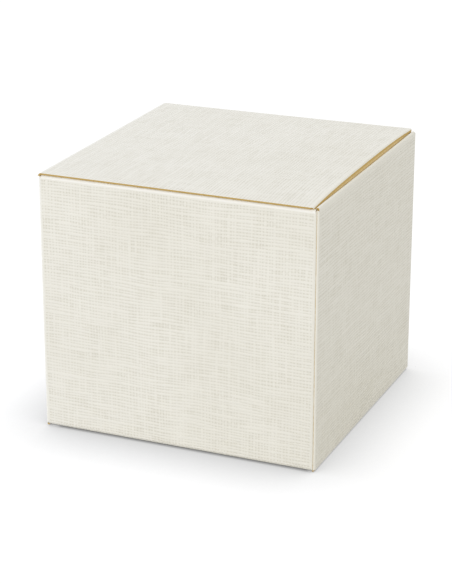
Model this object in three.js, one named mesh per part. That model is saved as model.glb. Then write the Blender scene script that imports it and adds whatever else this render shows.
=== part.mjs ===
// Folding carton of creased paperboard with a tuck end at the top and another at the bottom.
// Millimetres, +Z up. The origin is the centre of the face that the box rests on.
// The front wall faces -Y and the right wall faces +X. The lid hinges on the left wall and
// tucks in behind the right wall; the bottom hinges on the right wall and tucks in behind
// the left wall, so the bottom end is the top end turned half a turn about the Y axis.
import * as THREE from 'three';

// Outside of the closed box
const boxWidth = 100;
const boxDepth = 100;
const boxHeight = 92;

// Board, folds and the space between boards
const board = 0.6;
const foldInside = 0.45;       // inner radius of a folded crease
const beadHeight = 0.15;       // ridge that the creasing rule leaves inside a fold
const foldGap = 0.05;          // between a panel and the crease that joins it
const glueGap = 0.05;          // between boards that are glued together
const layerGap = 0.1;          // between boards that lie loose on each other

// Lid, bottom panel and their tuck flaps
const lidInset = 0.25;         // how far the lid stays inside the front and back faces
const bottomInset = 2.4;       // and how far the bottom panel does, out of sight of the front
const panelCorner = 1.2;       // corner radius of a closing panel
const tuckLength = 15;
const tuckEndInset = 3.4;      // from the outside of the front or back wall to the tuck flap's end
const tuckCorner = 9;
const tuckClearance = 0.35;    // between the tuck flap and the rim that it slides behind
const tuckLean = 7;            // degrees that a tuck flap leans into the box
const tuckFoldInset = 0.35;    // lid's tuck crease inside the creases of the dust flaps

// Dust flaps
const dustLength = 40;
const dustHingeInset = 2.6;    // from the outside of the hinge wall to the flap's root
const dustTaper = 27;          // degrees of the edge on the side of the closing panel's hinge
const dustTuckInset = 5;       // from the outside of the tuck wall to the flap's edge
const dustCorner = 7;

// Rim folded double at the wall that takes a tuck flap
const rimDrop = 0.3;           // from the top of the lid to the top of the rim
const rimDepth = 12;
const rimEndInset = 2.2;       // from the outside of the front or back wall to the rim's end
const rimCorner = 3;

// Glue seam in the back left corner
const tabWidth = 14;
const tabEndDrop = 3;          // how much shorter the tab is at its root than the wall
const tabTaper = 20;           // degrees of the tab's slanted ends
const seamSetback = 0.6;       // raw edge of the back wall from the outside of the left wall

// Facets in a quarter turn of a fold and of a rounded corner
const foldFacets = 8;
const cornerFacets = 6;

// Sizes that follow from the ones above
const foldRadius = board + foldInside;
const rimRadius = board + glueGap / 2;
const halfWidth = boxWidth / 2;
const halfDepth = boxDepth / 2;
const dustTop = boxHeight - board - layerGap;          // outer face of a closed dust flap
const sideWallEnd = dustTop - foldRadius;              // where a front or back wall starts to fold
const rimTop = boxHeight - rimDrop;
const tuckFace = halfWidth - 2 * board - glueGap - tuckClearance;
const seamFold = halfDepth - board - glueGap - foldRadius;   // where the left wall folds into the tab
const lean = THREE.MathUtils.degToRad(tuckLean);

function finish(colour, roughness) {
  return new THREE.MeshStandardMaterial({ color: colour, roughness, metalness: 0 });
}

const ivory = 0xece9de;
const paleIvory = 0xf2efe6;
const kraft = 0xc4a97c;

// A flat board: its outline lies in the plane of u and v, and its thickness goes along u x v
function panel(name, outline, origin, u, v, colour) {
  const geometry = new THREE.ExtrudeGeometry(outline, {
    depth: board, bevelEnabled: false, curveSegments: cornerFacets,
  });
  const mesh = new THREE.Mesh(geometry, finish(colour, 0.85));
  mesh.name = name;
  placeBy(mesh, origin, u, v);
  return mesh;
}

// A bar of one profile: the profile lies in the plane of u and v and is drawn out along u x v
function bar(name, profile, length, origin, u, v, colour) {
  const geometry = new THREE.ExtrudeGeometry(profile, {
    depth: length, bevelEnabled: false, curveSegments: foldFacets,
  });
  const mesh = new THREE.Mesh(geometry, finish(colour, 0.8));
  mesh.name = name;
  placeBy(mesh, origin, u, v);
  return mesh;
}

function placeBy(mesh, origin, u, v) {
  const w = new THREE.Vector3().crossVectors(u, v);
  mesh.quaternion.setFromRotationMatrix(new THREE.Matrix4().makeBasis(u, v, w));
  mesh.position.copy(origin);
}

const at = (x, y, z) => new THREE.Vector3(x, y, z);
const xAxis = at(1, 0, 0);
const yAxis = at(0, 1, 0);
const zAxis = at(0, 0, 1);
const minus = (v) => v.clone().negate();

function rectangle(u0, v0, u1, v1) {
  const shape = new THREE.Shape();
  shape.moveTo(u0, v0);
  shape.lineTo(u1, v0);
  shape.lineTo(u1, v1);
  shape.lineTo(u0, v1);
  shape.closePath();
  return shape;
}

// An outline through corner points [u, v, radius], each corner rounded by its radius
function roundedOutline(corners) {
  const shape = new THREE.Shape();
  const count = corners.length;
  corners.forEach(([u, v, radius], i) => {
    const corner = new THREE.Vector2(u, v);
    if (!radius) {
      if (i === 0) shape.moveTo(u, v);
      else shape.lineTo(u, v);
      return;
    }
    const before = corners[(i + count - 1) % count];
    const after = corners[(i + 1) % count];
    const back = new THREE.Vector2(before[0] - u, before[1] - v).normalize();
    const on = new THREE.Vector2(after[0] - u, after[1] - v).normalize();
    const halfAngle = Math.acos(THREE.MathUtils.clamp(back.dot(on), -1, 1)) / 2;
    const reach = radius / Math.tan(halfAngle);
    const start = corner.clone().addScaledVector(back, reach);
    const end = corner.clone().addScaledVector(on, reach);
    const inward = back.clone().add(on).normalize();
    const centre = corner.clone().addScaledVector(inward, radius / Math.sin(halfAngle));
    const startAngle = Math.atan2(start.y - centre.y, start.x - centre.x);
    const endAngle = Math.atan2(end.y - centre.y, end.x - centre.x);
    const turnsLeft = back.x * on.y - back.y * on.x < 0;
    if (i === 0) shape.moveTo(start.x, start.y);
    else shape.lineTo(start.x, start.y);
    shape.absarc(centre.x, centre.y, radius, startAngle, endAngle, !turnsLeft);
  });
  shape.closePath();
  return shape;
}

// Section of a folded crease about the fold's centre, from angle `from` to angle `to`.
// Outside it is round; inside, the creasing rule has left a bead between the two panels.
function creaseSection(from, to) {
  const shape = new THREE.Shape();
  const steps = foldFacets;
  for (let i = 0; i <= steps; i += 1) {
    const angle = from + (to - from) * i / steps;
    const x = foldRadius * Math.cos(angle);
    const y = foldRadius * Math.sin(angle);
    if (i === 0) shape.moveTo(x, y);
    else shape.lineTo(x, y);
  }
  for (let i = steps; i >= 0; i -= 1) {
    const share = i / steps;
    const angle = from + (to - from) * share;
    const radius = foldInside - beadHeight * Math.sin(Math.PI * share) ** 2;
    shape.lineTo(radius * Math.cos(angle), radius * Math.sin(angle));
  }
  shape.closePath();
  return shape;
}

// Half round section of a rim that is folded flat on itself
function rimSection() {
  const shape = new THREE.Shape();
  shape.moveTo(rimRadius, 0);
  shape.absarc(0, 0, rimRadius, 0, Math.PI, false);
  shape.closePath();
  return shape;
}

// The four walls, the three creases between them and the glued seam
function makeWalls() {
  const walls = new THREE.Group();
  const low = boxHeight - sideWallEnd;
  const high = sideWallEnd;
  const flatX = halfWidth - foldRadius - foldGap;
  const flatY = halfDepth - foldRadius - foldGap;
  const hingeEnd = boxHeight - foldRadius - foldGap;
  const rimEnd = rimTop - rimRadius - foldGap;

  walls.add(panel('front_wall', rectangle(-flatX, low + foldGap, flatX, high - foldGap),
    at(0, -halfDepth + board, 0), xAxis, zAxis, ivory));
  walls.add(panel('back_wall', rectangle(-halfWidth + seamSetback, low + foldGap, flatX, high - foldGap),
    at(0, halfDepth, 0), xAxis, zAxis, ivory));
  walls.add(panel('right_wall', rectangle(-flatY, boxHeight - hingeEnd, flatY, rimEnd),
    at(halfWidth - board, 0, 0), yAxis, zAxis, ivory));
  walls.add(panel('left_wall', rectangle(-flatY, boxHeight - rimEnd, seamFold - foldGap, hingeEnd),
    at(-halfWidth, 0, 0), yAxis, zAxis, ivory));

  const corners = [
    ['corner_crease_front_right', halfWidth - foldRadius, -halfDepth + foldRadius, -Math.PI / 2],
    ['corner_crease_back_right', halfWidth - foldRadius, halfDepth - foldRadius, 0],
    ['corner_crease_front_left', -halfWidth + foldRadius, -halfDepth + foldRadius, Math.PI],
    ['seam_crease', -halfWidth + foldRadius, seamFold, Math.PI / 2],
  ];
  for (const [name, x, y, from] of corners) {
    walls.add(bar(name, creaseSection(from, from + Math.PI / 2), high - low,
      at(x, y, low), xAxis, yAxis, paleIvory));
  }

  const tabRoot = -halfWidth + foldRadius + foldGap;
  const tabTip = -halfWidth + tabWidth;
  const slant = (tabTip - tabRoot) * Math.tan(THREE.MathUtils.degToRad(tabTaper));
  const tabLow = low + tabEndDrop;
  const tabHigh = high - tabEndDrop;
  const tab = new THREE.Shape();
  tab.moveTo(tabRoot, tabLow);
  tab.lineTo(tabTip, tabLow + slant);
  tab.lineTo(tabTip, tabHigh - slant);
  tab.lineTo(tabRoot, tabHigh);
  tab.closePath();
  walls.add(panel('glue_tab', tab, at(0, halfDepth - board - glueGap, 0), xAxis, zAxis, kraft));
  return walls;
}

// One end of the box, drawn as the top end: closing panel hinged on the left wall, tuck flap
// behind the right wall's double rim, and a dust flap on the front and on the back wall
function makeEnd(panelHalf, tuckFoldHalf, names) {
  const end = new THREE.Group();
  const hingeX = -halfWidth + foldRadius;
  const tuckX = tuckFace - foldRadius;
  const foldZ = boxHeight - foldRadius;

  const closing = roundedOutline([
    [hingeX + foldGap, -panelHalf, 0],
    [tuckX - foldGap, -panelHalf, panelCorner],
    [tuckX - foldGap, panelHalf, panelCorner],
    [hingeX + foldGap, panelHalf, 0],
  ]);
  end.add(panel(names.panel, closing, at(0, 0, boxHeight - board), xAxis, yAxis, ivory));
  end.add(bar(names.hinge, creaseSection(0, Math.PI / 2), 2 * panelHalf,
    at(hingeX, -panelHalf, foldZ), minus(xAxis), zAxis, paleIvory));

  end.add(bar(names.tuckCrease, creaseSection(-lean, Math.PI / 2), 2 * tuckFoldHalf,
    at(tuckX, tuckFoldHalf, foldZ), xAxis, zAxis, paleIvory));

  const tuckHalf = halfDepth - tuckEndInset;
  const tuck = roundedOutline([
    [-tuckHalf, foldGap, 0],
    [tuckHalf, foldGap, 0],
    [tuckHalf, tuckLength, tuckCorner],
    [-tuckHalf, tuckLength, tuckCorner],
  ]);
  const down = at(-Math.sin(lean), 0, -Math.cos(lean));
  const tuckStart = at(tuckX + foldRadius * Math.cos(lean), 0, foldZ - foldRadius * Math.sin(lean));
  end.add(panel(names.tuck, tuck, tuckStart, yAxis, down, kraft));

  const wallX = halfWidth - foldRadius - foldGap;
  const rootLeft = -halfWidth + dustHingeInset;
  const rootRight = halfWidth - dustTuckInset;
  const slant = (dustLength - foldGap) * Math.tan(THREE.MathUtils.degToRad(dustTaper));
  const dustOutline = (side) => roundedOutline([
    [side * rootLeft, foldGap, 0],
    [side * rootRight, foldGap, 0],
    [side * rootRight, dustLength, dustCorner],
    [side * (rootLeft + slant), dustLength, dustCorner],
  ]);
  const foldY = halfDepth - foldRadius;
  end.add(panel(names.dustFront, dustOutline(1), at(0, -foldY, dustTop - board), xAxis, yAxis, ivory));
  end.add(panel(names.dustBack, dustOutline(-1), at(0, foldY, dustTop - board),
    minus(xAxis), minus(yAxis), ivory));
  end.add(bar(names.dustCreaseFront, creaseSection(0, Math.PI / 2), 2 * wallX,
    at(wallX, -foldY, sideWallEnd), minus(yAxis), zAxis, paleIvory));
  end.add(bar(names.dustCreaseBack, creaseSection(0, Math.PI / 2), 2 * wallX,
    at(-wallX, foldY, sideWallEnd), yAxis, zAxis, paleIvory));

  const rimCentre = halfWidth - rimRadius;
  const rimEnd = rimTop - rimRadius;
  const rimFront = -halfDepth + foldRadius + foldGap;
  const rimBack = seamFold - foldGap;
  end.add(bar(names.rimCrease, rimSection(), rimBack - rimFront,
    at(rimCentre, rimBack, rimEnd), xAxis, zAxis, paleIvory));
  const rimInner = halfDepth - rimEndInset;
  const rim = roundedOutline([
    [-rimInner, foldGap, 0],
    [rimInner, foldGap, 0],
    [rimInner, rimDepth, rimCorner],
    [-rimInner, rimDepth, rimCorner],
  ]);
  end.add(panel(names.rim, rim, at(halfWidth - board - glueGap, 0, rimEnd), yAxis, minus(zAxis), kraft));
  return end;
}

const box = new THREE.Group();
box.add(makeWalls());
box.add(makeEnd(halfDepth - lidInset, halfDepth - foldRadius - tuckFoldInset, {
  panel: 'lid_panel', hinge: 'lid_crease', tuck: 'lid_tuck_flap', tuckCrease: 'lid_tuck_crease',
  dustFront: 'top_dust_flap_front', dustBack: 'top_dust_flap_back',
  dustCreaseFront: 'top_dust_crease_front', dustCreaseBack: 'top_dust_crease_back',
  rim: 'top_rim', rimCrease: 'top_rim_crease',
}));

// The bottom end is the top end turned half a turn about the box's middle, along Y, and its
// closing panel is a little narrower
const bottom = makeEnd(halfDepth - bottomInset, halfDepth - bottomInset, {
  panel: 'bottom_panel', hinge: 'bottom_crease', tuck: 'bottom_tuck_flap', tuckCrease: 'bottom_tuck_crease',
  dustFront: 'bottom_dust_flap_front', dustBack: 'bottom_dust_flap_back',
  dustCreaseFront: 'bottom_dust_crease_front', dustCreaseBack: 'bottom_dust_crease_back',
  rim: 'bottom_rim', rimCrease: 'bottom_rim_crease',
});
bottom.rotation.y = Math.PI;
bottom.position.z = boxHeight;
box.add(bottom);

export default box;
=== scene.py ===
# %% [markdown]
# # A folding carton of linen-embossed board
# The box is one sheet of board, cut, creased and folded: four walls, a lid and a bottom panel
# with tuck flaps, four dust flaps and two rims folded double. This lesson dresses the frame,
# which holds every piece at its real size, with boards, folds and finishes.
# Metres, +Z up; the front wall faces -Y and the right wall faces +X.

# %% Load the frame
import math
import bmesh
import bpy
from mathutils import Matrix, Vector


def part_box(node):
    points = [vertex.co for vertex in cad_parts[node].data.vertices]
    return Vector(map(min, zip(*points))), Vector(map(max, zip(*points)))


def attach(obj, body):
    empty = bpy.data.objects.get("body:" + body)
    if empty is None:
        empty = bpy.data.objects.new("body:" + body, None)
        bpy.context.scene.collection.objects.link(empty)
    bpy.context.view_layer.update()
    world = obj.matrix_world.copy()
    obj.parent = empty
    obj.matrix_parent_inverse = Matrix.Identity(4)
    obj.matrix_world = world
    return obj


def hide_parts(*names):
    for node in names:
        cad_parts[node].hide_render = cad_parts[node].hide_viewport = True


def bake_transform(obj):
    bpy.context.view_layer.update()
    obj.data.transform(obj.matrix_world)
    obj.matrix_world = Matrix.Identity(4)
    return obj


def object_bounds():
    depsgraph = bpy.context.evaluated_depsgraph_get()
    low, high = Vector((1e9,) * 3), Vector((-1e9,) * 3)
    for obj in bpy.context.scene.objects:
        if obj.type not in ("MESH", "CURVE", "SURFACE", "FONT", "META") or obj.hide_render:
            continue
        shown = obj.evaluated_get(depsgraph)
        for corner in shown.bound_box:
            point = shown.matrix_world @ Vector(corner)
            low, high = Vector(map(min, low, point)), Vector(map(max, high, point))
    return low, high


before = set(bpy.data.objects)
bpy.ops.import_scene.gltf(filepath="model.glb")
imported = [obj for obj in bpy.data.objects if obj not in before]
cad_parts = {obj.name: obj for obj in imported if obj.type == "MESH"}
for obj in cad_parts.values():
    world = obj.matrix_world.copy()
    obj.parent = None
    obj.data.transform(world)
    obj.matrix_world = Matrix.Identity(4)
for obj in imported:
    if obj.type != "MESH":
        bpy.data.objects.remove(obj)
frame_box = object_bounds()
print("frame box", [round(x, 4) for corner in frame_box for x in corner])

# %% [markdown]
# ## Sizes, read from the frame
# Every size that the frame holds is measured on its nodes, so the dressed pieces sit exactly
# where the plain ones sit. Only what the frame's boxes can't tell gets a value of its own.

# %% Sizes
MM = 0.001


def edge_of(node, high, axis):
    """One coordinate of the low (0) or high (1) corner of a frame node."""
    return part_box(node)[high][axis]


half_width = frame_box[1].x
half_depth = frame_box[1].y
height = frame_box[1].z
board = edge_of("front_wall", 1, 1) - edge_of("front_wall", 0, 1)
fold_radius = half_depth + edge_of("top_dust_crease_front", 1, 1)
fold_inside = fold_radius - board
dust_top = edge_of("top_dust_flap_front", 1, 2)
wall_end = dust_top - fold_radius
fold_level = height - fold_radius
rim_radius = (half_width - edge_of("top_rim_crease", 0, 0)) / 2
rim_fold = edge_of("top_rim_crease", 1, 2) - rim_radius
rim_reach = rim_fold - edge_of("top_rim", 0, 2)
rim_spring = 0.25 * MM
rim_level = rim_fold + rim_spring
tuck_turn = edge_of("lid_tuck_crease", 1, 0) - fold_radius
lid_half = edge_of("lid_panel", 1, 1)
seam_fold = edge_of("seam_crease", 1, 1) - fold_radius
tuck_lean = math.radians(7)
tuck_length = 15 * MM
tuck_corner = 9 * MM
dust_taper = math.radians(27)
dust_corner = 7 * MM
rim_corner = 3 * MM
tab_taper = math.radians(20)
fold_play = 0.05 * MM
print("board", round(board / MM, 3), "fold radius", round(fold_radius / MM, 3),
      "rim fold", round(rim_fold / MM, 2), "tuck turn", round(tuck_turn / MM, 2))

# %% [markdown]
# ## A helper for nodes
# Shader maths reads best as plain sums. `Wire` wraps the output of a node, and Python's own
# signs add the Math nodes. `Graph.add` makes any other node: settings first, then a value or
# a link for each socket. The same two classes serve materials and Geometry Nodes.

# %% Wires and graphs


def find(sockets, key):
    """The socket with this number, identifier or name."""
    if isinstance(key, int):
        return sockets[key]
    for socket in sockets:
        if socket.identifier == key:
            return socket
    return next(s for s in sockets if s.name == key and s.enabled)


class Wire:
    """The output of a node, for use in sums."""

    def __init__(self, graph, output):
        self.graph = graph
        self.output = output

    def math(self, operation, *values):
        return self.graph.add("ShaderNodeMath", {"operation": operation}, dict(enumerate(values)))

    def __add__(self, other):
        return self.math("ADD", self, other)

    def __sub__(self, other):
        return self.math("SUBTRACT", self, other)

    def __rsub__(self, other):
        return self.math("SUBTRACT", other, self)

    def __mul__(self, other):
        return self.math("MULTIPLY", self, other)

    def __truediv__(self, other):
        return self.math("DIVIDE", self, other)

    def __rtruediv__(self, other):
        return self.math("DIVIDE", other, self)

    def __pow__(self, other):
        return self.math("POWER", self, other)

    __radd__ = __add__
    __rmul__ = __mul__

    def ramp(self, low, high):
        """0 at low, 1 at high and smooth between them."""
        settings = {"interpolation_type": "SMOOTHSTEP"}
        inputs = {"Value": self, "From Min": low, "From Max": high}
        return self.graph.add("ShaderNodeMapRange", settings, inputs)


class Graph:
    """The nodes of one material or of one Geometry Nodes group."""

    def __init__(self, tree):
        self.tree = tree

    def node(self, kind, settings=None, inputs=None):
        node = self.tree.nodes.new(kind)
        for key, value in (settings or {}).items():
            setattr(node, key, value)
        for key, value in (inputs or {}).items():
            socket = find(node.inputs, key)
            if isinstance(value, Wire):
                self.tree.links.new(value.output, socket)
            else:
                socket.default_value = value
        return node

    def add(self, kind, settings=None, inputs=None, out=0):
        """Add a node and return the wire of its output `out`, given by number or name."""
        node = self.node(kind, settings, inputs)
        return Wire(self, find(node.outputs, out))

    def vector(self, x, y, z=0.0):
        return self.add("ShaderNodeCombineXYZ", inputs={0: x, 1: y, 2: z})

    def split(self, vector):
        node = self.node("ShaderNodeSeparateXYZ", inputs={0: vector})
        return [Wire(self, output) for output in node.outputs]


# %% [markdown]
# ## Coordinates that follow the sheet
# A real carton is embossed flat, before it is folded. So each piece carries a UV map named
# `sheet`, in metres on the flat sheet, and the weave runs across it as on the real board.
# Three attributes help. `emboss` is 1 on the open sheet, 0 where a creasing rule has pressed
# the weave flat, and below 0 on the top dust folds, whose pressed paper is painted whiter as a
# painted highlight where they face the light. `depth` goes from 0 on the outer face to 1 on
# the inner one. The third tells how near the ivory paper is to breaking: 0 on a board and 1
# where a fold has split it. On the bare kraft of the tuck fold it rises from 1 to 2 towards
# the tuck flap, and there the kraft is painted paler: painted light that lifts the shade in
# the crack beside the rim.

# %% Reading the attributes in a material
SHEET = "sheet"
EMBOSS = "emboss"
DEPTH = "depth"
WEAR_AND_LIGHT = "wear_and_light"


def attribute(graph, name):
    return graph.add("ShaderNodeAttribute", {"attribute_name": name}, out="Fac")


def object_place(graph):
    return graph.add("ShaderNodeTexCoord", out="Object")


def sheet_place(graph):
    u, v, _ = graph.split(graph.add("ShaderNodeUVMap", {"uv_map": SHEET}))
    return u, v


def noise(graph, vector, scale, detail=2.0, roughness=0.5, flat=False):
    """Values around 0.5 that seldom leave 0.25 to 0.75."""
    settings = {"noise_dimensions": "2D" if flat else "3D"}
    inputs = {"Vector": vector, "Scale": scale, "Detail": detail, "Roughness": roughness}
    return graph.add("ShaderNodeTexNoise", settings, inputs)


def mix_colours(graph, share, first, second):
    inputs = {"Factor_Float": share, "A_Color": first, "B_Color": second}
    return graph.add("ShaderNodeMix", {"data_type": "RGBA"}, inputs, out="Result_Color")


# %% [markdown]
# ## The linen weave
# The emboss copies a plain weave: threads along the sheet (rows) and up it (columns) pass
# over and under each other, with a small hollow at each corner between them. Threads are
# never even, so each gets its own thickness from a noise drawn out along it, and all of them
# wander a little. Building this from sums keeps it sharp at any distance, and one height
# serves both the bump and the shade in the hollows.

# %% The weave as a sum
thread_pitch = 1.12 * MM
emboss_depth = 0.09 * MM


def thread(graph, position, slub):
    """Rounded section of the threads that lie at every whole number of position."""
    fraction = position.math("FRACT", position)
    offset = (fraction - 0.5).math("ABSOLUTE", fraction - 0.5)
    crown = 1.0 - (offset * (2.9 - slub * 1.8)) ** 2.0
    return crown.math("MAXIMUM", crown, 0.0)


def weave_height(graph):
    """Height of the weave: 0 in the hollows, and up to 1 on the threads."""
    u, v = sheet_place(graph)
    wander = noise(graph, graph.vector(u * 38.0, v * 75.0), 1.0, 1.0, flat=True)
    sway = noise(graph, graph.vector(u * 70.0, v * 26.0), 1.0, 1.0, flat=True)
    row_step = noise(graph, graph.vector(u * 12.0, v * 560.0), 1.0, 0.0, flat=True)
    column_step = noise(graph, graph.vector(u * 560.0, v * 12.0), 1.0, 0.0, flat=True)
    column = u / thread_pitch + (sway - 0.5) * 0.9 + (column_step - 0.5) * 0.5
    row = v / thread_pitch + (wander - 0.5) * 1.4 + (row_step - 0.5) * 0.5
    column_number = column.math("FLOOR", column)
    row_number = row.math("FLOOR", row)
    row_slub = noise(graph, graph.vector(u * 95.0, row_number * 3.7), 1.0, flat=True)
    column_slub = noise(graph, graph.vector(column_number * 5.3, v * 80.0), 1.0, flat=True)
    row_phase = (column - 0.5 + row_number) * math.pi
    column_phase = (row - 0.5 + column_number) * math.pi
    rows = thread(graph, row, row_slub) * (0.3 + 1.4 * row_slub)
    rows = rows * (0.84 + 0.16 * row_phase.math("COSINE", row_phase))
    columns = thread(graph, column, column_slub) * (0.4 + 1.2 * column_slub)
    columns = columns * (0.62 - 0.22 * column_phase.math("COSINE", column_phase))
    return rows.math("MAXIMUM", rows, columns)


# %% [markdown]
# ## Linen face
# Ivory paper, matt, embossed. Near a crease the rule has pressed the weave flat, so the
# height fades with `emboss`, and along the top dust folds the pressed paper is painted
# whiter, a painted highlight. The hollows of the weave are painted darker, painted shade.
# Where a fold is sharpest its paper has worn, and the brown board shows through in a thin
# line. On the tuck fold the bare kraft is painted paler towards the tuck flap, painted light
# in the shaded crack beside the rim. The tone changes by a percent or two over a few
# centimetres, as paper does.

# %% Linen material
ivory = (0.885, 0.862, 0.785, 1)
# painted shade: the darker colour in the hollows of the weave, also used for the darker fibre
# flecks
ivory_shade_and_fleck = (0.66, 0.63, 0.53, 1)
ivory_cloud = (0.855, 0.830, 0.748, 1)
# painted highlight: the whiter pressed paper of the top dust folds, where they face the light
ivory_pressed_highlight = (0.930, 0.912, 0.855, 1)
kraft = (0.58, 0.395, 0.125, 1)
kraft_dark = (0.42, 0.255, 0.06, 1)
kraft_pale = (0.70, 0.52, 0.24, 1)
# painted light: paler kraft that lifts the shade in the crack between tuck flap and rim
kraft_painted_light = (0.82, 0.64, 0.34, 1)


def start_material(name):
    material = bpy.data.materials.new(name)
    material.use_nodes = True
    material.node_tree.nodes.clear()
    return material, Graph(material.node_tree)


def finish_material(graph, colour, roughness, bump_height, bump_depth):
    bump = graph.add("ShaderNodeBump", inputs={"Distance": bump_depth, "Height": bump_height},
                     out="Normal")
    inputs = {"Base Color": colour, "Roughness": roughness, "Normal": bump,
              "Specular IOR Level": 0.35}
    surface = graph.add("ShaderNodeBsdfPrincipled", inputs=inputs)
    graph.node("ShaderNodeOutputMaterial", inputs={"Surface": surface})


def make_linen():
    material, graph = start_material("linen_paper")
    place = object_place(graph)
    emboss = attribute(graph, EMBOSS)
    open_sheet = emboss.ramp(0.0, 1.0)
    weave = weave_height(graph)
    fibre = noise(graph, place, 3200.0, 3.0, 0.6)
    cloud = noise(graph, place, 26.0, 2.0)
    patch = noise(graph, place, 170.0, 2.0).ramp(0.25, 0.70) * 0.3 + 0.8
    # painted shade in the hollows of the weave, stronger in patches
    hollow_shade = (1.0 - weave).ramp(0.15, 0.95) * open_sheet * patch
    colour = mix_colours(graph, cloud.ramp(0.35, 0.75), ivory, ivory_cloud)
    # painted highlight on the top dust folds, where emboss is below 0
    colour = mix_colours(graph, emboss.ramp(-0.2, 0.0), ivory_pressed_highlight, colour)
    colour = mix_colours(graph, hollow_shade * 0.75, colour, ivory_shade_and_fleck)
    colour = mix_colours(graph, fibre.ramp(0.60, 0.80) * 0.10, colour, ivory_shade_and_fleck)
    broken_and_lit = attribute(graph, WEAR_AND_LIGHT) + (noise(graph, place, 900.0, 3.0, 0.6) - 0.5) * 0.9
    colour = mix_colours(graph, broken_and_lit.ramp(0.45, 0.70), colour, kraft)
    # painted light: above 1.5 the bare kraft of the tuck fold is painted paler towards the tuck
    # flap
    colour = mix_colours(graph, broken_and_lit.ramp(1.5, 2.1), colour, kraft_painted_light)
    roughness = 0.55 + fibre * 0.2
    finish_material(graph, colour, roughness, weave * open_sheet + fibre * 0.06, emboss_depth)
    return material


linen = make_linen()
print("linen nodes", len(linen.node_tree.nodes))

# %% [markdown]
# ## Bare kraft face
# The inside of the sheet, and the tuck flaps, are bare golden brown board: short fibres that
# lie mostly one way, a few dark and pale flecks, and a faint print of the emboss, because
# the rollers press right through the sheet. Beside a crease the outer face is pressed and
# painted paler: pressed board, with painted light that lifts the shade in the crack beside
# the rim.

# %% Kraft material


def make_kraft():
    material, graph = start_material("kraft_board")
    place = object_place(graph)
    u, v = sheet_place(graph)
    strands = noise(graph, graph.vector(u * 900.0, v * 260.0), 1.0, 4.0, 0.65, flat=True)
    fibre = noise(graph, place, 2400.0, 3.0, 0.6)
    cloud = noise(graph, place, 45.0, 3.0)
    fleck = noise(graph, place, 950.0, 1.0)
    open_sheet = attribute(graph, EMBOSS).ramp(0.0, 1.0)
    # pressed board beside a crease, painted paler as painted light that lifts the shade in the
    # crack beside the rim
    pressed_and_lit = (1.0 - open_sheet) * (1.0 - attribute(graph, DEPTH))
    print_through = weave_height(graph) * open_sheet * 0.35
    colour = mix_colours(graph, cloud.ramp(0.30, 0.75) * 0.5, kraft, kraft_dark)
    colour = mix_colours(graph, strands.ramp(0.45, 0.75) * 0.45, colour, kraft_pale)
    colour = mix_colours(graph, fleck.ramp(0.70, 0.76) * 0.8, colour, kraft_dark)
    colour = mix_colours(graph, pressed_and_lit * 0.8, colour, kraft_painted_light)
    bump_height = print_through + strands * 0.25 + fibre * 0.2
    finish_material(graph, colour, 0.80 + fibre * 0.12, bump_height, emboss_depth)
    return material


kraft_face = make_kraft()

# %% [markdown]
# ## Cut edge
# The knife shows the layers: a skin of ivory paper, then plies of kraft squeezed together.
# `depth` runs through the board, so the layers are lines at fixed depths, broken up by a
# noise, and the bump makes the fibres stand out.

# %% Cut edge material


def make_cut_edge():
    material, graph = start_material("cut_edge")
    place = object_place(graph)
    depth = attribute(graph, DEPTH)
    rough_cut = noise(graph, place, 1500.0, 3.0, 0.7)
    ply_place = (depth + (rough_cut - 0.5) * 0.12) * (2 * math.pi * 5)
    ply = ply_place.math("COSINE", ply_place) * 0.5 + 0.5
    skin = 1.0 - (depth + (rough_cut - 0.5) * 0.06).ramp(0.07, 0.15)
    colour = mix_colours(graph, ply * 0.30, kraft, kraft_dark)
    colour = mix_colours(graph, rough_cut.ramp(0.52, 0.75) * 0.35, colour, kraft_pale)
    colour = mix_colours(graph, skin, colour, ivory)
    finish_material(graph, colour, 0.85, ply * 0.4 + rough_cut, 0.03 * MM)
    return material


cut_edge = make_cut_edge()

# %% [markdown]
# ## Boards
# A flat board could be an extruded face. Two things make it look like board: its cut edges
# are slightly crushed, so they catch a thin light, and it is sliced into a grid, so it can
# carry the distance to its creases and bend a little. The edges that meet a fold stay square,
# because the sheet goes on there.

# %% Outlines
CUT = None
crush_width = 0.7 * MM
wide_crush = 2.4 * MM
no_crush = 0.02 * MM
edge_round = 0.07 * MM
corner_steps = 8
sharp_board = math.radians(32)
sharp_fold = math.radians(50)


def round_outline(corners):
    """Points of an outline, and what the edge from each point to the next is.

    A corner is (a, b, radius, crush), counter-clockwise. crush tells of the edge that follows:
    how far beside a fold the weave is pressed flat, or CUT where there is no fold.
    """
    points, edges = [], []
    for i, (a, b, radius, crush) in enumerate(corners):
        here = Vector((a, b))
        if not radius:
            points.append(here)
            edges.append(crush)
            continue
        before = (Vector(corners[i - 1][:2]) - here).normalized()
        after = (Vector(corners[(i + 1) % len(corners)][:2]) - here).normalized()
        half_angle = before.angle(after) / 2
        centre = here + (before + after).normalized() * radius / math.sin(half_angle)
        start = here + before * radius / math.tan(half_angle) - centre
        sweep = math.pi - 2 * half_angle
        for step in range(corner_steps + 1):
            turn = Matrix.Rotation(sweep * step / corner_steps, 2)
            points.append(centre + turn @ start)
            edges.append(CUT if step < corner_steps else crush)
    return points, edges


def edge_line(points, i):
    """The inward normal of the edge from point i to the next, and its place along it."""
    along = (points[(i + 1) % len(points)] - points[i]).normalized()
    normal = Vector((-along.y, along.x))
    return normal, normal.dot(points[i])


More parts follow.
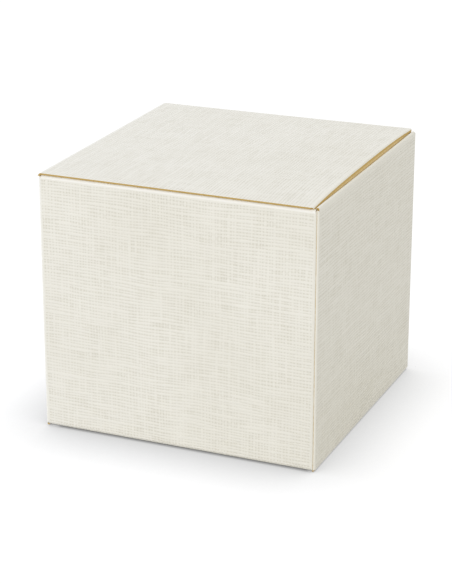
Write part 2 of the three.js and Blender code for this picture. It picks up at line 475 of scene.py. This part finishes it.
def inset_outline(points, edges, distance):
    """The outline drawn in by a distance along its cut edges only."""
    inner = []
    for i, point in enumerate(points):
        (n0, d0), (n1, d1) = edge_line(points, i - 1), edge_line(points, i)
        d0 += distance if edges[i - 1] is CUT else 0
        d1 += distance if edges[i] is CUT else 0
        area = n0.x * n1.y - n0.y * n1.x
        if abs(area) < 1e-6:
            inner.append(point + n0 * (d0 - n0.dot(point)))
        else:
            inner.append(Vector(((d0 * n1.y - d1 * n0.y) / area, (d1 * n0.x - d0 * n1.x) / area)))
    return inner


# %% Planes and slices


class Plane:
    """The place of a flat board: a point of its outer face, and two directions of the sheet."""

    def __init__(self, origin, along, up):
        self.origin = Vector(origin)
        self.along = Vector(along)
        self.up = Vector(up)
        self.out = self.along.cross(self.up)

    def at(self, a, b, out=0.0):
        return self.origin + self.along * a + self.up * b + self.out * out


X, Y, Z = Vector((1, 0, 0)), Vector((0, 1, 0)), Vector((0, 0, 1))
slice_spacing = 7 * MM
same_point = 1e-7


def slice_positions(low, high, low_crush, high_crush):
    """Where a board is sliced between low and high: evenly, and closely beside a fold."""
    count = max(1, round((high - low) / slice_spacing))
    places = [low + (high - low) * i / count for i in range(1, count)]
    if low_crush:
        places += [low + low_crush / 2, low + low_crush]
    if high_crush:
        places += [high - high_crush / 2, high - high_crush]
    return sorted(places)


def slice_mesh(bm, axis, places):
    normal = Vector((1, 0, 0)) if axis == 0 else Vector((0, 1, 0))
    for place in places:
        everything = bm.verts[:] + bm.edges[:] + bm.faces[:]
        bmesh.ops.bisect_plane(bm, geom=everything, plane_co=normal * place, plane_no=normal,
                               dist=same_point)


# %% Building a board


def fold_lines(points, edges):
    """The folded edges: the inward normal of each, its place along that and its crush width."""
    return [edge_line(points, i) + (crush,) for i, crush in enumerate(edges) if crush is not CUT]


def crush_beside(lines, axis, sign):
    """The crush width of the fold whose inward normal is this way, if there is one."""
    return next((crush for normal, _, crush in lines if normal[axis] * sign > 0.999), None)


def new_object(name, mesh, materials):
    mesh.shade_smooth()
    mesh.set_sharp_from_angle(angle=sharp_board)
    obj = bpy.data.objects.new(name, mesh)
    bpy.context.scene.collection.objects.link(obj)
    for material in materials:
        mesh.materials.append(material)
    return obj


def make_board(name, plane, corners, sheet_origin, materials, bulge=0.0):
    """A board with an outer face, an inner face and cut or folded edges."""
    points, edges = round_outline(corners)
    inner = inset_outline(points, edges, edge_round)
    levels = [(inner, 0.0), (points, -edge_round), (points, edge_round - board), (inner, -board)]
    bm = bmesh.new()
    rings = [[bm.verts.new((p.x, p.y, z)) for p in ring] for ring, z in levels]
    bm.faces.new(rings[0])
    bm.faces.new(rings[-1][::-1]).material_index = 1
    for level, material_index in enumerate((0, 2, 1)):
        upper, lower = rings[level], rings[level + 1]
        for i in range(len(points)):
            j = (i + 1) % len(points)
            quad = [upper[i], lower[i], lower[j], upper[j]]
            bm.faces.new(quad).material_index = material_index
    bmesh.ops.remove_doubles(bm, verts=bm.verts, dist=same_point)
    lines = fold_lines(points, edges)
    for axis in (0, 1):
        low, high = (f(p[axis] for p in points) for f in (min, max))
        crushes = [crush_beside(lines, axis, sign) for sign in (1, -1)]
        slice_mesh(bm, axis, slice_positions(low, high, *crushes))
    return board_object(name, bm, plane, lines, sheet_origin, materials, bulge)


def board_object(name, bm, plane, lines, sheet_origin, materials, bulge):
    """Give the sliced board its attributes, put it in its plane and make it an object."""
    emboss_layer = bm.verts.layers.float.new(EMBOSS)
    depth_layer = bm.verts.layers.float.new(DEPTH)
    sheet_layer = bm.loops.layers.uv.new(SHEET)
    extent = [[f(v.co[axis] for v in bm.verts) for f in (min, max)] for axis in (0, 1)]
    for face in bm.faces:
        for loop in face.loops:
            loop[sheet_layer].uv = sheet_origin + loop.vert.co.xy
    for vert in bm.verts:
        flat = vert.co.xy
        shares = [(normal.dot(flat) - place) / crush for normal, place, crush in lines]
        vert[emboss_layer] = min(shares + [1.0])
        vert[depth_layer] = -vert.co.z / board
        share = [(flat[i] - extent[i][0]) / (extent[i][1] - extent[i][0]) for i in (0, 1)]
        swell = bulge * math.sin(math.pi * share[0]) * math.sin(math.pi * share[1])
        vert.co = plane.at(flat.x, flat.y, vert.co.z + swell)
    mesh = bpy.data.meshes.new(name)
    bm.to_mesh(mesh)
    bm.free()
    return new_object(name, mesh, materials)


def rectangle(a0, b0, a1, b1, low=crush_width, right=crush_width, high=crush_width,
              left=crush_width):
    """Square corners, with what each of the four edges is."""
    return [(a0, b0, 0, low), (a1, b0, 0, right), (a1, b1, 0, high), (a0, b1, 0, left)]


# %% [markdown]
# ## Folds
# A fold is the same form at every edge of the box: a strip of board bent round a radius, with
# the bead that the creasing rule leaves inside, two soft lines outside and a shallow groove
# between them. That is a rule, so one Geometry Nodes group makes them all: it takes a cube
# of one unit, reads its first coordinate as the way round the fold, its second as the way
# along it and its third as the way through the board, and sets each point by those three.

# %% The fold group
fold_sizes = ("Length", "Start", "Turn", "Outer Radius", "Inner Radius", "Bead", "Flatness",
              "Groove", "Tongue", "Crest Wear", "Bare Share", "Emboss")
fold_vectors = ("Sheet Origin", "Sheet Along", "Sheet Across")
fold_materials = ("Outer Material", "Inner Material", "Edge Material")
fold_steps = 24
fold_rows = 12
groove_share = 0.27
groove_offset = 0.06
crest_share = 0.14


def new_group(name, sockets):
    """A Geometry Nodes group with these inputs, its graph and a wire for each input."""
    tree = bpy.data.node_groups.new(name, "GeometryNodeTree")
    for socket_name, kind in sockets:
        tree.interface.new_socket(socket_name, in_out="INPUT", socket_type=kind)
    tree.interface.new_socket("Geometry", in_out="OUTPUT", socket_type="NodeSocketGeometry")
    graph = Graph(tree)
    node = graph.node("NodeGroupInput")
    return tree, graph, {name: Wire(graph, find(node.outputs, name)) for name, _ in sockets}


def store(graph, geometry, name, value, kind="FLOAT", domain="POINT"):
    settings = {"data_type": kind, "domain": domain}
    inputs = {"Geometry": geometry, "Name": name, "Value": value}
    return graph.add("GeometryNodeStoreNamedAttribute", settings, inputs)


def scaled(graph, vector, factor):
    inputs = {"Vector": vector, "Scale": factor}
    return graph.add("ShaderNodeVectorMath", {"operation": "SCALE"}, inputs)


def make_fold_group():
    sockets = [(name, "NodeSocketFloat") for name in fold_sizes]
    sockets += [(name, "NodeSocketVector") for name in fold_vectors]
    sockets += [(name, "NodeSocketMaterial") for name in fold_materials]
    tree, graph, given = new_group("Fold", sockets)
    inputs = {"Size": (1, 1, 1), "Vertices X": fold_steps + 1, "Vertices Y": fold_rows + 1,
              "Vertices Z": 2}
    strip = graph.add("GeometryNodeMeshCube", inputs=inputs)
    x, y, z = graph.split(graph.add("GeometryNodeInputPosition"))
    across, along, depth = x + 0.5, y + 0.5, 0.5 - z

    from_middle = x.math("ABSOLUTE", x) * 2.0
    middle = 1.0 - from_middle ** 2.0
    from_groove = x + groove_offset
    dip = (from_groove / groove_share) ** 2.0
    dip = dip.math("EXPONENT", 0.0 - dip)
    outer = given["Outer Radius"] * (1.0 - given["Flatness"] * middle * middle)
    outer = outer - given["Groove"] * dip
    swell = across * math.pi
    swell = swell.math("SINE", swell)
    inner = given["Inner Radius"] - given["Bead"] * swell * swell
    radius = outer + (inner - outer) * depth
    angle = given["Start"] + given["Turn"] * across
    end = y.math("TRUNC", y * 2.0)
    reach = given["Tongue"] * middle.math("SQRT", middle) * end
    place = graph.vector(radius * angle.math("COSINE", angle), radius * angle.math("SINE", angle),
                         along * given["Length"] + reach)

    arc = given["Turn"] * given["Outer Radius"] * across
    sheet = graph.add("ShaderNodeVectorMath", {"operation": "ADD"}, {
        0: scaled(graph, given["Sheet Along"], along * given["Length"]),
        1: scaled(graph, given["Sheet Across"], arc)})
    sheet = graph.add("ShaderNodeVectorMath", {"operation": "ADD"},
                      {0: sheet, 1: given["Sheet Origin"]})
    strip = store(graph, strip, SHEET, sheet, "FLOAT2", "CORNER")
    strip = store(graph, strip, DEPTH, depth)
    crest = from_groove.math("ABSOLUTE", from_groove) / crest_share
    crest = given["Crest Wear"] * (1.0 - crest.math("MINIMUM", crest, 1.0))
    # on the tuck fold the value rises from 1 to 2 towards the tuck flap; above 1.5 the material
    # paints the kraft paler, painted light
    bare = across.math("LESS_THAN", across, given["Bare Share"])
    bare = bare * (2.0 - across / (given["Bare Share"] + 0.01))
    strip = store(graph, strip, WEAR_AND_LIGHT, crest + bare)
    strip = store(graph, strip, EMBOSS, given["Emboss"])
    strip = graph.add("GeometryNodeSetPosition", inputs={"Geometry": strip, "Position": place})
    strip = graph.add("GeometryNodeRealizeInstances", inputs={"Geometry": strip})
    layer = graph.add("GeometryNodeInputNamedAttribute", {"data_type": "FLOAT"}, {"Name": DEPTH})
    everywhere = graph.add("GeometryNodeSetMaterial",
                           inputs={"Geometry": strip, "Material": given["Edge Material"]})
    outside = graph.add("GeometryNodeSetMaterial", inputs={
        "Geometry": everywhere, "Selection": layer.math("LESS_THAN", layer, 0.25),
        "Material": given["Outer Material"]})
    inside = graph.add("GeometryNodeSetMaterial", inputs={
        "Geometry": outside, "Selection": layer.math("GREATER_THAN", layer, 0.75),
        "Material": given["Inner Material"]})
    graph.node("NodeGroupOutput", inputs={"Geometry": inside})
    return tree


fold_group = make_fold_group()
print("fold group nodes", len(fold_group.nodes))

# %% Running a group on an object


def run_group(obj, tree, values):
    """Set a group's inputs on an object, apply it and leave a plain mesh."""
    modifier = obj.modifiers.new(tree.name, "NODES")
    modifier.node_group = tree
    for item in tree.interface.items_tree:
        if item.in_out == "INPUT" and item.name in values:
            modifier[item.identifier] = values[item.name]
    graph = bpy.context.evaluated_depsgraph_get()
    mesh = bpy.data.meshes.new_from_object(obj.evaluated_get(graph), depsgraph=graph)
    obj.modifiers.clear()
    obj.data = mesh
    return obj


# %% Building a fold
round_fold = {"Turn": math.pi / 2, "Outer Radius": fold_radius, "Inner Radius": fold_inside,
              "Bead": 0.15 * MM, "Flatness": 0.09, "Groove": 0.02 * MM, "Start": 0.0}
tongue = 0.9 * MM
bare_share = 0.45
crisp = -0.12
# below 0: the top dust folds get the pressed paper's painted highlight
dense_highlight = -0.2


def make_fold(name, origin, u, v, length, sheet, materials, **changes):
    """A fold about a line from origin along u x v; sheet is (origin, along, across)."""
    values = dict(round_fold, Length=length)
    values.update({key.replace("_", " "): value for key, value in changes.items()})
    values.update(zip(fold_vectors, (list(vector) for vector in sheet)))
    values.update(zip(fold_materials, materials))
    strip = bpy.data.objects.new(name, bpy.data.meshes.new(name))
    bpy.context.scene.collection.objects.link(strip)
    run_group(strip, fold_group, values)
    w = u.cross(v)
    turn = Matrix((u, v, w)).transposed().to_4x4()
    strip.data.transform(Matrix.Translation(origin) @ turn)
    strip.data.name = name
    strip.data.shade_smooth()
    strip.data.set_sharp_from_angle(angle=sharp_fold)
    return strip


# %% [markdown]
# ## Taking the frame's place
# Each dressed piece stands for one node of the frame and hides it. A board rides on its body.
# A fold that opens belongs to two bodies: it is baked where it stands and rides on neither;
# the points where its inner face starts and ends its turn are passed along but not used.

# %% Standing for a node
made = []


def stand_for(obj, node, body, other=None, start=None, end=None):
    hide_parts(node)
    if other:
        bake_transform(obj)
    else:
        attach(obj, body)
    made.append(obj)
    return obj


board_finish = (linen, kraft_face, cut_edge)
bare_finish = (kraft_face, kraft_face, cut_edge)

# %% [markdown]
# ## The four walls
# On the flat sheet the walls lie side by side, so each has its own stretch of the sheet. A
# real wall is never dead flat: it swells by a fifth of a millimetre, which is enough to make
# the light wander over it. Where a wall goes over into a double rim, the fold springs up a
# quarter of a millimetre, nearly to the level of the lid.

# %% Walls
wall_low = height - wall_end
flat_x = half_width - fold_radius
flat_y = half_depth - fold_radius
wall_swell = 0.2 * MM
wall_order = ("front", "right", "back", "left")
wall_sheet = {side: 2 * half_width * i for i, side in enumerate(wall_order)}
back_edge = -edge_of("back_wall", 0, 0)

walls = {
    "front": (Plane((0, -half_depth, 0), X, Z),
              rectangle(-flat_x, wall_low, flat_x, wall_end, low=no_crush)),
    "right": (Plane((half_width, 0, 0), Y, Z),
              rectangle(-flat_y, fold_radius, flat_y, rim_level, high=wide_crush)),
    "back": (Plane((0, half_depth, 0), -X, Z),
             rectangle(-flat_x, wall_low, back_edge, wall_end, low=no_crush, right=CUT)),
    "left": (Plane((-half_width, 0, 0), -Y, Z),
             rectangle(-seam_fold, height - rim_level, flat_y, fold_level, low=wide_crush)),
}
for side, (plane, corners) in walls.items():
    wall = make_board(side + "_wall_board", plane, corners, Vector((wall_sheet[side], 0)),
                      board_finish, wall_swell)
    stand_for(wall, side + "_wall", "carton")
    print(wall.name, len(wall.data.polygons), "faces")

# %% [markdown]
# ## The upright folds and the glued seam
# Three corners of the sleeve are creases. At the fourth, back left, the left wall turns into
# a glue tab that lies inside the back wall, whose cut edge stays in sight. The upright folds
# carry the deepest groove, because the sleeve lies flat until it is opened.

# %% Upright folds
upright = {"Flatness": 0.015, "Groove": 0.42 * MM, "Crest_Wear": 1.05, "Tongue": tongue}
post_height = wall_end - wall_low
posts = [
    ("corner_crease_front_right", flat_x, -flat_y, -math.pi / 2, half_width - fold_radius),
    ("corner_crease_back_right", flat_x, flat_y, 0.0, 3 * half_width - fold_radius),
    ("corner_crease_front_left", -flat_x, -flat_y, math.pi, 7 * half_width - fold_radius),
    ("seam_crease", -flat_x, seam_fold, math.pi / 2, 5 * half_width - fold_radius),
]
for node, x, y, start, sheet_start in posts:
    fold = make_fold(node + "_fold", Vector((x, y, wall_low)), X, Y, post_height,
                     ((sheet_start, wall_low, 0), Y, X), board_finish, Start=start, **upright)
    stand_for(fold, node, "carton")

tab_low, tab_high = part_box("glue_tab")
tab_slant = (tab_high.x + flat_x) * math.tan(tab_taper)
tab = make_board("glue_tab_board", Plane((0, tab_high.y, 0), -X, Z), [
    (-tab_high.x, tab_low.z + tab_slant, 0, CUT),
    (flat_x, tab_low.z, 0, crush_width),
    (flat_x, tab_high.z, 0, CUT),
    (-tab_high.x, tab_high.z - tab_slant, 0, CUT),
], Vector((5 * half_width, 0)), board_finish)
stand_for(tab, "glue_tab", "carton")

# %% [markdown]
# ## A lid that has sprung
# A tucked lid is held at its hinge and at the two ends of its free edge, so it springs up
# between them. A second group bends the lid, its fold and its tuck flap by one rule: nothing
# at the hinge, most at the free edge, and along that edge an arch with a flat top. Below the
# panel the arch also presses the tuck flap outwards, so the top of the flap stands flush with
# the rim. The group works on the finished boards, which were sliced for it.

# %% The spring group
spring_height = 1.25 * MM
spring_tilt = 0.5 * MM
spring_press = 0.31 * MM
spring_flush = 0.35 * MM
arch_power = 3.0
reach_power = 1.6


def make_spring_group():
    names = ("Height", "Tilt", "Press", "Flush", "Lean", "Hinge", "Free Edge", "Half Length",
             "Panel Low", "Fold Low")
    sockets = [("Board", "NodeSocketGeometry")] + [(name, "NodeSocketFloat") for name in names]
    tree, graph, given = new_group("Sprung lid", sockets)
    x, y, z = graph.split(graph.add("GeometryNodeInputPosition"))
    share = y / given["Half Length"]
    edge = share.math("ABSOLUTE", share)
    edge = edge.math("MINIMUM", edge, 1.0)
    bow = 1.0 - edge ** arch_power
    arch = given["Height"] * bow + given["Tilt"] * (share + 1.0) * 0.5
    reach = (x - given["Hinge"]) / (given["Free Edge"] - given["Hinge"])
    reach = reach.math("MINIMUM", reach.math("MAXIMUM", reach, 0.0), 1.0)
    below = z.ramp(given["Panel Low"], given["Fold Low"])
    lean = (given["Fold Low"] - z) * given["Lean"]
    lean = lean.math("MAXIMUM", lean, 0.0)
    press = given["Press"] * below + lean.math("MINIMUM", lean, given["Flush"])
    lift = graph.vector(press * bow, 0.0, arch * reach ** reach_power)
    inputs = {"Geometry": given["Board"], "Offset": lift}
    bent = graph.add("GeometryNodeSetPosition", inputs=inputs)
    graph.node("NodeGroupOutput", inputs={"Geometry": bent})
    return tree


spring_group = make_spring_group()


def spring(obj):
    values = {"Height": spring_height, "Tilt": spring_tilt, "Press": spring_press,
              "Flush": spring_flush, "Lean": math.tan(tuck_lean),
              "Hinge": -flat_x, "Free Edge": tuck_turn, "Half Length": lid_half,
              "Panel Low": height - board, "Fold Low": fold_level}
    name = obj.data.name
    run_group(obj, spring_group, values)
    obj.data.name = name
    return obj


# %% [markdown]
# ## One end of the box
# Both ends have the same pieces. The bottom end is the top end turned half a turn about the
# Y axis, through the middle of the box, so one function makes both and a matrix turns the
# second. Only the top has the sprung lid, since the bottom is pressed flat on the table.

# %% Turning an end
upright_end = Matrix.Identity(4)
turned_end = Matrix.Translation((0, 0, height)) @ Matrix.Rotation(math.pi, 4, "Y")


def place_end(obj, turn):
    if turn is not upright_end:
        obj.data.transform(turn)
    return obj


# %% Closing panel, its folds and its tuck flap
lean_start = -tuck_lean
tuck_half = edge_of("lid_tuck_flap", 1, 1)
end_curve = 0.25


def round_fold_ends(fold, half):
    """Draw in the tuck fold's ends where it goes down between the dust folds."""
    inner_half = flat_y - fold_play
    for vert in fold.data.vertices:
        if abs(vert.co.y) > inner_half:
            share = min(1, max(0, (vert.co.z - dust_top) / (height - dust_top)))
            reach = inner_half + (half - inner_half) * share ** end_curve
            vert.co.y = math.copysign(min(abs(vert.co.y), reach), vert.co.y)


def make_closing(names, turn, sheet, sprung):
    plane = Plane((0, 0, height), -Y, X)
    half = edge_of(names["panel"], 1, 1)
    corners = rectangle(-half, -flat_x, half, tuck_turn, right=CUT, high=2 * crush_width, left=CUT)
    panel = make_board(names["panel"] + "_board", plane, corners, sheet, board_finish)
    hinge_half = max(half, flat_y - fold_play)
    hinge = make_fold(names["hinge"] + "_fold", Vector((-flat_x, -hinge_half, fold_level)), -X, Z,
                      2 * hinge_half, ((sheet.x, sheet.y, 0), -X, Y), board_finish)
    tuck_fold = make_fold(names["tuck_crease"] + "_fold", Vector((tuck_turn, half, fold_level)),
                          X, Z, 2 * half, ((sheet.x, sheet.y, 0), X, -Y), board_finish,
                          Start=lean_start, Turn=math.pi / 2 + tuck_lean, Bare_Share=bare_share,
                          Flatness=crisp)
    round_fold_ends(tuck_fold, half)
    down = Vector((-math.sin(tuck_lean), 0, -math.cos(tuck_lean)))
    root = Vector((tuck_turn + fold_radius * math.cos(tuck_lean), 0,
                   fold_level - fold_radius * math.sin(tuck_lean)))
    tuck = make_board(names["tuck"] + "_board", Plane(root, -Y, down), [
        (-tuck_half, 0, 0, wide_crush),
        (tuck_half, 0, 0, CUT),
        (tuck_half, tuck_length, tuck_corner, CUT),
        (-tuck_half, tuck_length, tuck_corner, CUT),
    ], sheet + Vector((0, tuck_turn)), bare_finish)
    if sprung:
        for piece in (panel, tuck_fold, tuck):
            spring(piece)

    for piece in (panel, hinge, tuck_fold, tuck):
        place_end(piece, turn)
    stand_for(panel, names["panel"], names["body"])
    stand_for(tuck, names["tuck"], names["tuck_body"])
    stand_for(hinge, names["hinge"], "carton", names["body"],
              turn @ Vector((-flat_x - fold_inside, 0, fold_level)),
              turn @ Vector((-flat_x, 0, fold_level + fold_inside)))
    stand_for(tuck_fold, names["tuck_crease"], names["body"], names["tuck_body"],
              turn @ Vector((tuck_turn, 0, fold_level)),
              turn @ Vector((tuck_turn + fold_inside, 0, fold_level)))


# %% Dust flaps
dust_left = edge_of("top_dust_flap_front", 0, 0)
dust_right = edge_of("top_dust_flap_front", 1, 0)
dust_length = edge_of("top_dust_flap_front", 1, 1) + flat_y
dust_slant = dust_length * math.tan(dust_taper)


def make_dust_flap(node, fold_node, body, side, turn, sheet):
    """The dust flap of the front wall (side 1) or of the back wall (side -1)."""
    outline = [
        (dust_left, 0, 0, crush_width),
        (dust_right, 0, 0, CUT),
        (dust_right, dust_length, dust_corner, CUT),
        (dust_left + dust_slant, dust_length, dust_corner, CUT),
    ]
    if side < 0:
        mirrored = [(-a, b, radius) for a, b, radius, _ in outline]
        order = (1, 0, 3, 2)
        outline = [mirrored[i] + (crush,) for i, crush in zip(order, (crush_width, CUT, CUT, CUT))]
    plane = Plane((0, -side * flat_y, dust_top), X * side, Y * side)
    flap = make_board(node + "_board", plane, outline, sheet, board_finish)
    # the top dust folds get the painted highlight, the bottom ones keep the open weave
    fold = make_fold(fold_node + "_fold", Vector((side * flat_x, -side * flat_y, wall_end)),
                     -Y * side, Z, 2 * flat_x, ((sheet.x, sheet.y, 0), X, Y), board_finish,
                     Emboss=1.0 if turn is turned_end else dense_highlight)
    place_end(flap, turn)
    place_end(fold, turn)
    stand_for(flap, node, body)
    stand_for(fold, fold_node, "carton", body,
              turn @ Vector((0, -side * (flat_y + fold_inside), wall_end)),
              turn @ Vector((0, -side * flat_y, wall_end + fold_inside)))


# %% Double rim
rim_half = edge_of("top_rim", 1, 1)
rim_front, rim_back = edge_of("top_rim_crease", 0, 1), edge_of("top_rim_crease", 1, 1)


def make_rim(node, fold_node, turn, sheet):
    plane = Plane((half_width - 2 * rim_radius, 0, rim_level), Y, -Z)
    rim = make_board(node + "_board", plane, [
        (-rim_half, 0, 0, wide_crush),
        (rim_half, 0, 0, CUT),
        (rim_half, rim_reach, rim_corner, CUT),
        (-rim_half, rim_reach, rim_corner, CUT),
    ], sheet, board_finish)
    middle = Vector((half_width - rim_radius, rim_back, rim_level))
    fold = make_fold(fold_node + "_fold", middle, X, Z,
                     rim_back - rim_front, ((sheet.x, sheet.y, 0), X, Y), board_finish,
                     Turn=math.pi, Outer_Radius=rim_radius, Inner_Radius=rim_radius - board,
                     Bead=0.0, Flatness=0.0, Groove=0.0)
    for piece, target in ((rim, node), (fold, fold_node)):
        place_end(piece, turn)
        stand_for(piece, target, "carton")


# %% Both ends
ends = [
    ("lid", "top", upright_end, wall_sheet["left"], wall_sheet["right"], height),
    ("bottom", "bottom", turned_end, wall_sheet["right"], wall_sheet["left"], -height),
]
for closing, level, turn, hinge_sheet, rim_sheet, sheet_up in ends:
    make_closing({
        "panel": closing + "_panel", "hinge": closing + "_crease",
        "tuck": closing + "_tuck_flap", "tuck_crease": closing + "_tuck_crease",
        "body": closing, "tuck_body": closing + "_tuck",
    }, turn, Vector((hinge_sheet, sheet_up + half_width)), turn is upright_end)
    for side, name in ((1, "front"), (-1, "back")):
        make_dust_flap(f"{level}_dust_flap_{name}", f"{level}_dust_crease_{name}",
                       f"{level}_dust_{name}", side, turn,
                       Vector((wall_sheet[name], sheet_up + half_depth)))
    make_rim(level + "_rim", level + "_rim_crease", turn, Vector((rim_sheet, sheet_up)))
faces = sum(len(piece.data.polygons) for piece in made)
print("pieces", len(made), "faces", faces)

# %% [markdown]
# ## Floor, light and camera
# The photograph is a packshot: a white sweep, a bright room, a large soft light from the
# front, a small cool one low on the left and a shadow only close to the box. The floor is a
# pale matt plane. For camera rays alone it also glows a little, less where the box shades it,
# so that it reaches white where no shadow falls. The box itself gets no light from that glow.
# The shade leans a little, because it reaches further out in front of the box than beside it.

# %% Floor
floor_reach = 6.0
floor_level = -0.05 * MM
floor_white = (0.78, 0.78, 0.78, 1)
floor_seen = (0.12, 0.12, 0.12, 1)
floor_glow = 0.94
shade_reach = 30 * MM
shade_tilt = (0.08, 0.0, 1.0)
shade_curve = 0.66


def make_floor():
    mesh = bpy.data.meshes.new("floor")
    reach = floor_reach
    corners = [(-reach, -reach), (reach, -reach), (reach, reach), (-reach, reach)]
    mesh.from_pydata([(x, y, floor_level) for x, y in corners], [], [(0, 1, 2, 3)])
    floor = bpy.data.objects.new("floor", mesh)
    bpy.context.scene.collection.objects.link(floor)
    material, graph = start_material("white_sweep")
    matt = graph.add("ShaderNodeBsdfDiffuse", inputs={"Color": floor_white})
    matt_seen = graph.add("ShaderNodeBsdfDiffuse", inputs={"Color": floor_seen})
    settings = {"samples": 32}
    inputs = {"Distance": shade_reach, "Normal": graph.vector(*shade_tilt)}
    open_sky = graph.add("ShaderNodeAmbientOcclusion", settings, inputs, "AO")
    shade = mix_colours(graph, open_sky ** shade_curve, (0, 0, 0, 1), (1, 1, 1, 1))
    glow = graph.add("ShaderNodeEmission", inputs={"Color": shade, "Strength": floor_glow})
    both = graph.add("ShaderNodeAddShader", inputs={0: matt_seen, 1: glow})
    seen = graph.add("ShaderNodeLightPath", out="Is Camera Ray")
    either = graph.add("ShaderNodeMixShader", inputs={0: seen, 1: matt, 2: both})
    graph.node("ShaderNodeOutputMaterial", inputs={"Surface": either})
    mesh.materials.append(material)
    return floor


make_floor()

# %% Light
room_light = 0.83
room_colour = (1.0, 0.995, 0.965, 1)


def make_world():
    world = bpy.data.worlds.new("studio")
    world.use_nodes = True
    world.node_tree.nodes.clear()
    graph = Graph(world.node_tree)
    seen = graph.add("ShaderNodeLightPath", out="Is Camera Ray")
    strength = room_light + seen * (1.0 - room_light)
    colour = mix_colours(graph, seen, room_colour, (1, 1, 1, 1))
    light = graph.add("ShaderNodeBackground", inputs={"Color": colour, "Strength": strength})
    graph.node("ShaderNodeOutputWorld", inputs={"Surface": light})
    bpy.context.scene.world = world


def make_softbox(name, place, size, power, colour):
    light = bpy.data.lights.new(name, "AREA")
    light.shape = "SQUARE"
    light.size = size
    light.energy = power
    light.color = colour
    lamp = bpy.data.objects.new(name, light)
    lamp.location = place
    aim = Vector((0, 0, height / 2)) - lamp.location
    lamp.rotation_euler = aim.to_track_quat("-Z", "Y").to_euler()
    bpy.context.scene.collection.objects.link(lamp)
    return lamp


make_world()
make_softbox("front", Vector((-0.2, -1.6, 0.6)), 1.2, 5.1, (1.0, 0.99, 0.97))
make_softbox("left", Vector((-0.75, -0.04, 0.45)), 0.4, 1.8, (0.80, 0.93, 1.4))

# %% [markdown]
# ## Camera
# The camera was worked out from the corners of the box in the photograph: it stands about
# 70 cm away, 23 degrees round to the right and 20 degrees up, with a long lens. The box sits
# a few pixels off the middle of the picture, so the camera is moved sideways and not turned.

# %% Camera
picture_height = 584
view_azimuth = math.radians(23.05)
view_elevation = math.radians(20.20)
view_distance = 702.4 * MM
view_focal = 1985.4  # in pixels of the picture
aside_right, aside_up = 2.65 * MM, 5.68 * MM


def make_camera():
    data = bpy.data.cameras.new("camera")
    data.sensor_width = 36
    data.lens = data.sensor_width * view_focal / picture_height
    data.clip_start, data.clip_end = 0.01, 20
    camera = bpy.data.objects.new("camera", data)
    a, e = view_azimuth, view_elevation
    back = Vector((math.sin(a) * math.cos(e), -math.cos(a) * math.cos(e), math.sin(e)))
    right = Vector((math.cos(a), math.sin(a), 0))
    up = back.cross(right)
    target = Vector((0, 0, height / 2))
    camera.location = target + back * view_distance - right * aside_right - up * aside_up
    camera.rotation_euler = Matrix((right, up, back)).transposed().to_euler()
    bpy.context.scene.collection.objects.link(camera)
    bpy.context.scene.camera = camera
    print("camera at", [round(x, 4) for x in camera.location], "lens", round(data.lens, 1))


make_camera()
bpy.context.scene.view_settings.view_transform = "Standard"
